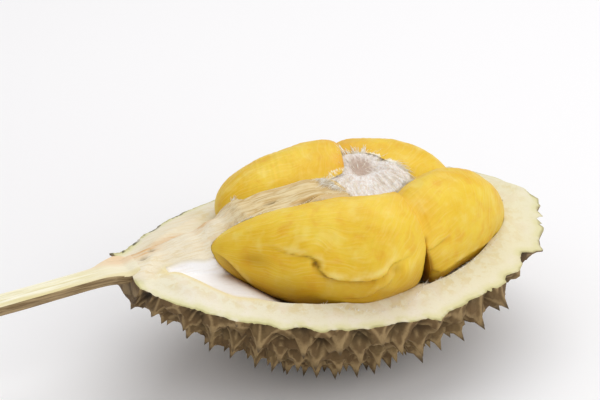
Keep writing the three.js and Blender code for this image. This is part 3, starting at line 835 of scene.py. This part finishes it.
def liningFinish():
    f = Finish("loculeLining", Roughness=0.42, Specular_IOR_Level=0.4)
    patch = f.noise(f.place, 0.08, 3)
    vein = f.noise(f.stretched((0.05, 0.5, 0.5)), 1.0, 3)
    f.colour = f.mix(f.between(patch, 0.35, 0.7), "faf9fa", "f3eeee")
    f.tint(f.between(vein, 0.58, 0.72) * 0.25, "e2d5c4")
    f.tint(f.between(f.attribute("fromHollow"), 2.5, 0.0) * 0.5, "ecdca8")
    # painted shadow of the front left aril on the lining below it
    f.tint(f.between(f.attribute("arilShadow"), 0.1, 0.9) * 0.7, "a3733c")
    return f.finished(vein * 0.7 + f.noise(f.place, 0.8, 3) * 0.3, 0.0006, 0.6)


def pithFinish():
    f = Finish("tornPith", Roughness=0.7, Specular_IOR_Level=0.2)
    strand = f.noise(f.stretched((0.6, 0.22, 0.7)), 1.6, 5, 0.65)
    hollow = f.attribute("crater")
    f.colour = f.mix(f.between(strand, 0.35, 0.65), "eadbd0", "fffdfb")
    # the crater's pinkish brown streaks: partly the pith's own colour, partly painted shade in the
    # hollow
    f.tint(f.between(hollow + (strand - 0.5) * 1.8, 0.3, 0.8) * 0.75, "b99b86")
    return f.finished(strand, 0.0011, 0.9)


def arilFinish():
    f = Finish("arilFlesh", Roughness=0.45, Specular_IOR_Level=0.28, Subsurface_Weight=0.18,
               Subsurface_Scale=0.004, Subsurface_Radius=(1.0, 0.55, 0.15))
    lengthwise, around, fold = (f.attribute(n) for n in ("alongFlesh", "aroundFlesh", "fold"))
    wave = f.noise(f.place, 0.04, 2) * 14
    lengthy = f.noise(f.joined(lengthwise * 0.07, around * 0.9 + wave), 1.0, 4, 0.6)
    slanted = f.noise(f.joined(lengthwise * 0.8 + around * 0.45 + wave, around * 0.06), 1.0, 4, 0.6)
    toCrease = f.between(lengthwise + wave, -14.0, 22.0)
    fibre = lengthy + (slanted - lengthy) * toCrease
    cloud = f.noise(f.place, 0.05, 2)
    patch = f.noise(f.place, 0.12, 3)
    f.colour = f.mix(f.between(cloud, 0.35, 0.65), "e8bb24", "efcc3e")
    f.tint(f.between(patch, 0.5, 0.74) * 0.5, "f4dc74")
    f.tint(f.between(patch, 0.47, 0.25) * 0.55, "e3a41c")
    f.tint(f.between(fibre, 0.45, 0.7) * 0.2, "f9e596")
    f.tint(f.between(fibre, 0.45, 0.25) * 0.17, "cd9d16")
    # amber painted shade beside the creases
    f.tint(f.attribute("amber") * f.between(patch, 0.3, 0.6) * 0.7, "e59c14")
    # painted shade low down, in the folds and in the creases where it presses; painted highlight on
    # the folds' crests
    low = f.between(f.axis("Z"), 10.0, -12.0)
    low = low * (0.35 + 0.65 * f.between(f.axis("X"), 32.0, 6.0))
    f.tint(low * 0.8, "b48602")
    f.tint(f.between(fold, 0.05, 1.0) * 0.75, "8f5e08")
    f.tint(f.attribute("lit") * f.between(patch, 0.35, 0.65) * 0.6, "fae79a")
    hairs = f.noise(f.joined(lengthwise * 1.1, around * 0.5), 1.0, 3, 0.7)
    f.tint(f.between(f.attribute("nearCore") + (hairs - 0.5) * 1.2, 0.4, 0.8), "faf3e0")
    return f.finished(fibre, 0.0008, 0.3)


def barkFinish():
    f = Finish("stemBark", Roughness=0.8, Specular_IOR_Level=0.2)
    strip = f.noise(f.stretched((0.06, 0.9, 0.9)), 1.0, 4, 0.6)
    f.colour = f.mix(f.between(strip, 0.35, 0.65), "7f6847", "b59c74")
    return f.finished(strip, 0.001, 0.9)


def splitFinish():
    f = Finish("splitWood", Roughness=0.66, Specular_IOR_Level=0.25)
    strip = f.noise(f.stretched((0.03, 0.7, 0.5)), 1.0, 4, 0.6)
    f.colour = f.mix(f.between(strip, 0.35, 0.65), "ece2b4", "fffae2")
    ending = f.between(f.axis("X"), -132.0, -108.0)
    f.tint(ending * 0.8, "f3ead0")
    f.tint(ending * f.between(f.axis("Y") + (strip - 0.5) * 6, 1.0, 6.0) * 0.45, "e8b078")
    f.tint(f.between(f.axis("Y"), -2.5, -5.5) * 0.5, "e0cd86")
    return f.finished(strip, 0.0008, 0.8)


def fibreFinish():
    f = Finish("paleFibre", Roughness=0.7, Specular_IOR_Level=0.2)
    patch = f.noise(f.place, 0.35, 3)
    f.colour = f.mix(f.between(patch, 0.35, 0.65), "efe3cb", "fdfaf2")
    return f.finished(f.noise(f.place, 3.0, 2), 0.0004, 0.6)


# ---- making the husk and the arils

def makeHusk():
    skin, cutFlesh, lining, pith = skinFinish(), fleshFinish(), liningFinish(), pithFinish()
    husk, skinPoints, skinRise, skinRidge = spinySkin(skin)
    carve(husk, keptPart(cutFlesh), "INTERSECT")
    print("husk: skin and cut face,", len(husk.data.polygons), "faces")
    for half in (front, back):
        carve(husk, locule(half, lining), "DIFFERENCE")
    carve(husk, rimPad(cutFlesh), "UNION")
    for name in arilShapes:
        carve(husk, arilBody(name, gap, 90, 100, material=lining), "DIFFERENCE")
    carve(husk, tornPith(0, pith), "UNION")
    bm = bmesh.new()
    bm.from_mesh(husk.data)
    bmesh.ops.triangulate(bm, faces=list(bm.faces))
    keepLargestIsland(bm)
    sharpBetweenMaterials(bm)
    bm.to_mesh(husk.data)
    bm.free()
    tree = treeOfPoints(skinPoints)
    points = pointsOf(husk.data)
    nearest = np.array([tree.find(point)[1] for point in points])
    x, y, z = points.T
    rim = bySide(y < huskShape["core"]["middle"], rimHeight, x)
    fromCrater = np.hypot(x - pithShape["crater"][0], y - pithShape["crater"][1])
    skinSlot, liningSlot = (husk.data.materials.find(look.name) for look in (skin, lining))
    for attribute, values in (
            ("rise", skinRise[nearest]), ("ridge", skinRidge[nearest]),
            ("inward", awayFrom(husk.data, skinSlot, points)),
            ("fromHollow", awayFrom(husk.data, liningSlot, points)),
            ("corePart", smooth(z - rim - lipAt(x), 0.3, 2.2)),
            ("gash", np.clip(gashAt(x, y, 0.9) / 2, 0, 1)),
            ("stain", np.clip(sum(mounds(x, y, huskShape["stains"])), 0, 0.8)),
            ("crater", np.exp(-(fromCrater / pithShape["craterReach"]) ** 2))):
        floatOn(husk.data, attribute, values)
    print("husk done,", len(husk.data.polygons), "faces")
    return husk


def makeArils():
    arils, look = {}, arilFinish()
    for name in arilShapes:
        arils[name] = arilBody(name, 0, detail=True, material=look)
        carve(arils[name], tornPith(gap), "DIFFERENCE")
        smoothFaces(arils[name].data)
    print("arils done")
    return arils


husk = makeHusk()
arils = makeArils()


# ---- torn fibres on the pith, along the core and on the rim's inner edge

# those on the pith hang over its edge or lie inside it; a side has a count, where to start looking
# for the aril's edge and in what steps, how far its fibres go in y and rise, and its span of x
fibreLook = {
    "seed": 12, "pith": 1900, "width": (0.22, 0.6), "waver": 0.06,
    "pithLook": {"hanging": {"at": (0.8, 0.99), "reach": (3.0, 8.5), "bow": 3.0},
                 "inner": {"at": (0.1, 1.0), "reach": (2, 5), "bow": 0.6}, "rise": 8.0},
    "sides": [
        {"count": 480, "start": 2, "step": 0.4, "dy": (0.5, 2.8), "span": (-46, 2), "rise": 3},
        {"count": 240, "start": -1, "step": -0.4, "dy": (-1.4, -0.3), "span": (-60, 4),
         "rise": 2},
        {"count": 170, "start": -78, "step": 0.4, "dy": (0.3, 1.2), "span": (-44, 70),
         "rise": 1.2}],
    "dx": (-1.0, 2.6), "search": 60}


def treeOf(obj):
    return BVHTree.FromPolygons([v.co for v in obj.data.vertices],
                                [tuple(f.vertices) for f in obj.data.polygons])


huskTree, arilTrees = treeOf(husk), [treeOf(aril) for aril in arils.values()]


def distances(points, tree, limit):
    return np.array([tree.find_nearest(point, limit)[3] or limit for point in points])


def markContacts():  # where flesh, core and lining lie close together
    for aril in arils.values():
        points = pointsOf(aril.data)
        away = np.array([huskTree.find_nearest(point)[3] for point in points])
        near = np.exp(-np.maximum(away - gap, 0) / 1.3) * smooth(points[:, 2], 5, 9)
        floatOn(aril.data, "nearCore", near)
    points = pointsOf(husk.data)
    x, y, z = points.T
    away = np.full(len(points), 8.0)
    high = z > 4
    away[high] = np.min([distances(points[high], tree, 8) for tree in arilTrees], axis=0)
    floatOn(husk.data, "nearFlesh", np.exp(-away / 2.2) * smooth(y, -4, 4))
    # the front left aril's painted shadow on the lining, near the stem
    pressedShade = np.exp(-distances(points, arilTrees[0], 14) / 4.5)
    floatOn(husk.data, "arilShadow", pressedShade * smooth(-x, 5, 30) * smooth(-y, 8, 14))


def topOf(trees, x, y):
    hits = [tree.ray_cast((x, y, 120), (0, 0, -1))[0] for tree in trees]
    return max((hit.z for hit in hits if hit), default=-99)


def meeting(x, start, step):  # where the husk dives under an aril, going from start
    for k in range(int(fibreLook["search"] / abs(step))):
        y = start + k * step
        if topOf(arilTrees, x, y) > topOf([huskTree], x, y) + 0.2:
            return y - 0.6 * math.copysign(1, step)
    return None


def laidBlade(draw, x, y, dx, dy, rise, bow=0.0):  # from (x, y) over whatever is beside it
    root = np.array([x, y, topOf([huskTree], x, y) - 0.2])
    if topOf(arilTrees, x, y) > root[2]:
        return None
    ahead = topOf([huskTree, *arilTrees], x + dx, y + dy) + 0.25
    towards = np.array([dx, dy, min(ahead - root[2], rise) + bow])
    length = np.linalg.norm(towards)
    bend = draw.normal(0, fibreLook["waver"], 3) - np.array([0, 0, bow / length])
    return root, towards, length, draw.uniform(*fibreLook["width"]), bend


def pithBlades(draw):  # three in five hang over the torn edge
    look, turn, blades = fibreLook["pithLook"], math.radians(pithShape["turn"]), []
    for k in range(fibreLook["pith"]):
        a, r = draw.uniform(0, 2 * math.pi), draw.uniform(*look["inner"]["at"]) ** 0.6
        kind = look["hanging" if k % 5 > 1 else "inner"]
        if kind is look["hanging"]:
            r = draw.uniform(*kind["at"])
        px, py = pithShape["reach"] * r * math.cos(a), pithShape["breadth"] * r * math.sin(a)
        x = pithShape["at"][0] + px * math.cos(turn) - py * math.sin(turn)
        y = pithShape["at"][1] + px * math.sin(turn) + py * math.cos(turn)
        outward = np.array([x, y]) - pithShape["crater"]
        outward /= max(np.linalg.norm(outward), 1e-3)
        outward = outward * draw.uniform(*kind["reach"]) + draw.normal(0, 0.9, 2)
        blades.append(laidBlade(draw, x, y, *outward, look["rise"], kind["bow"]))
    return blades


def sideBlades(draw):
    blades = []
    for side in fibreLook["sides"]:
        for k in range(side["count"]):
            x = draw.uniform(*side["span"])
            y = meeting(x, side["start"], side["step"])
            if y is not None:
                dx, dy = draw.uniform(*fibreLook["dx"]), draw.uniform(*side["dy"])
                blades.append(laidBlade(draw, x, y, dx, dy, side["rise"]))
    return blades


def bladeMesh():  # one tapered strand of length 1, up z
    bm = bmesh.new()
    bmesh.ops.create_cone(bm, cap_ends=True, segments=5, radius1=0.5, radius2=0.06, depth=1)
    sides = [e for e in bm.edges if abs(e.verts[0].co.z - e.verts[1].co.z) > 0.5]
    bmesh.ops.subdivide_edges(bm, edges=sides, cuts=3)
    bmesh.ops.translate(bm, verts=bm.verts, vec=(0, 0, 0.5))
    mesh = bpy.data.meshes.new("blade")
    bm.to_mesh(mesh)
    bm.free()
    return mesh


def fibreBunch(name, blades, material):  # blades: root, direction, length, width, bend
    mesh, bm, points = bladeMesh(), bmesh.new(), []
    wide, thick, high = (column[:, None] for column in pointsOf(mesh).T)
    for root, towards, length, width, bend in (blade for blade in blades if blade):
        bm.from_mesh(mesh)
        towards = unit(towards)
        flat = np.cross(towards, (0, 0, 1))
        flat /= max(np.linalg.norm(flat), 1e-6)
        points.append(root + length * high * towards + width * wide * flat
                      + 0.45 * width * thick * np.cross(towards, flat)
                      + length * high ** 2 * np.array(bend))
    bpy.data.meshes.remove(mesh)
    moveTo(bm, np.concatenate(points))
    obj = objectFrom(triangulated(bm), name, material)
    smoothFaces(obj.data)
    finishPiece(obj, [])


markContacts()
draw, paleFibre = np.random.default_rng(fibreLook["seed"]), fibreFinish()
fibreBunch("pithFibres", pithBlades(draw), paleFibre)
fibreBunch("coreFringe", sideBlades(draw), paleFibre)
print("fibres done")

finishPiece(husk, ["husk"])
for name, aril in arils.items():
    finishPiece(aril, [name])


# ---- the stem

stemShape = {"halfWidth": 5.4, "depth": 6.6, "start": -185, "end": -92, "slope": 0.064,
             "faceHeight": 3.5, "flareFrom": -124, "frontFlare": 7.4, "backFlare": 16,
             "grooves": 7, "grooveDepth": 0.035, "grooveTwist": 0.03,
             "bark": [(0.03, 18, 0.25, 0)], "splinters": [(0.5, 30, 1.6, 0)],
             # where its face comes down to the core's, from the husk's start, and its end sinks in
             "flush": (-14, -1), "sinkFrom": -2}


def stemPiece():
    bm = tubeAlong(96, 150)
    at = places(bm)
    x = lerp(stemShape["start"], stemShape["end"], (at[:, 0] + 1) / 2)
    angle = np.arctan2(at[:, 2], at[:, 1])
    flare = smooth(x, stemShape["flareFrom"], huskShape["start"]) ** 1.3
    sunk = smooth(x, huskShape["start"] + stemShape["sinkFrom"], stemShape["end"])
    frontOut = lerp(stemShape["halfWidth"], stemShape["frontFlare"], flare) * (1 - 0.5 * sunk)
    backOut = lerp(stemShape["halfWidth"], stemShape["backFlare"], flare) * (1 - 0.4 * sunk)
    face = stemShape["faceHeight"] + stemShape["slope"] * (x - huskShape["start"]) - 2 * sunk
    out = np.where(np.cos(angle) < 0, frontOut, backOut)
    turn = stemShape["grooves"] * angle + stemShape["grooveTwist"] * x
    groove = 1 + stemShape["grooveDepth"] * np.cos(turn) + ripples(x, angle, stemShape["bark"])
    y = np.cos(angle) * out * np.where(angle < 0, groove, 1)
    flush = smooth(x - huskShape["start"], *stemShape["flush"])
    core = openedHeight(x, y) + 0.3 - 1.5 * sunk
    under = lerp(face, np.minimum(face, core), flush)
    under = under + np.sin(angle) * stemShape["depth"] * (1 - 0.6 * sunk) * groove
    splinters = ripples(x, y, stemShape["splinters"]) * np.sin(np.abs(angle)) ** 0.5
    over = lerp(face + 0.4 * np.sin(angle) + splinters, core + 0.1 * np.sin(angle), flush)
    z = np.where(angle < 0, under, over)
    moveTo(bm, np.stack([x, y, z], -1))
    obj = objectFrom(triangulated(bm), "splitStem", barkFinish())
    obj.data.materials.append(splitFinish())
    smoothFaces(obj.data)
    for face in obj.data.polygons:  # split wood faces up or lies across an end
        face.material_index = int(face.normal.z > 0.55 or abs(face.normal.x) > 0.9)
    finishPiece(obj, ["stem"])


stemPiece()
print("stem done")


# ---- floor, light and camera

# the camera is away from the target in the direction back; both and the distance are in mm from
# the fruit's own middle, and the lights and the floor in metres
studio = {"target": (-20.06, 0, 17.16), "back": (-0.3836, -0.8042, 0.4540), "distance": 765,
          "lens": 99, "sensor": 36, "clip": 20, "world": 0.58, "floor": 6, "lights": [
              {"name": "overhead", "at": (0.45, 0.35, 1.3), "size": 1.4, "power": 9},
              {"name": "fill", "at": (0.35, -1.2, 1.0), "size": 1.3, "power": 7}]}


def linked(name, data, place, facing):  # facing turns the object, which looks down its z
    obj = bpy.data.objects.new(name, data)
    obj.location, obj.rotation_euler = place, facing.to_euler()
    bpy.context.scene.collection.objects.link(obj)
    return obj


def setStudio():
    bm = bmesh.new()
    bmesh.ops.create_grid(bm, x_segments=1, y_segments=1, size=studio["floor"])
    f = Finish("paleFloor", Roughness=0.9, Specular_IOR_Level=0.1)
    colour = f.mix(f.noise(f.place, 0.001, 2), "f6f4f6", "fafafa")
    f.tree.links.new(colour.socket, f.shader.inputs["Base Color"])
    objectFrom(bm, "floor", f.material)
    scene = bpy.context.scene
    scene.view_settings.view_transform = "Standard"
    scene.world = bpy.data.worlds.new("studio")
    scene.world.use_nodes = True
    sky = scene.world.node_tree.nodes["Background"].inputs
    sky["Strength"].default_value, sky["Color"].default_value = studio["world"], (1, 1, 1, 1)
    for light in studio["lights"]:
        data = bpy.data.lights.new(light["name"], "AREA")
        data.size, data.energy = light["size"], light["power"]
        onward = Vector(fruitMiddle) / 1000 - Vector(light["at"])
        linked(light["name"], data, light["at"], onward.to_track_quat("-Z", "Y"))
    lens = bpy.data.cameras.new("camera")
    lens.lens, lens.sensor_width, lens.clip_end = studio["lens"], studio["sensor"], studio["clip"]
    back = Vector(studio["back"]).normalized()
    place = Vector(studio["target"]) + Vector(fruitMiddle) + studio["distance"] * back
    scene.camera = linked("camera", lens, place / 1000, back.to_track_quat("Z", "Y"))


setStudio()
print("studio done")
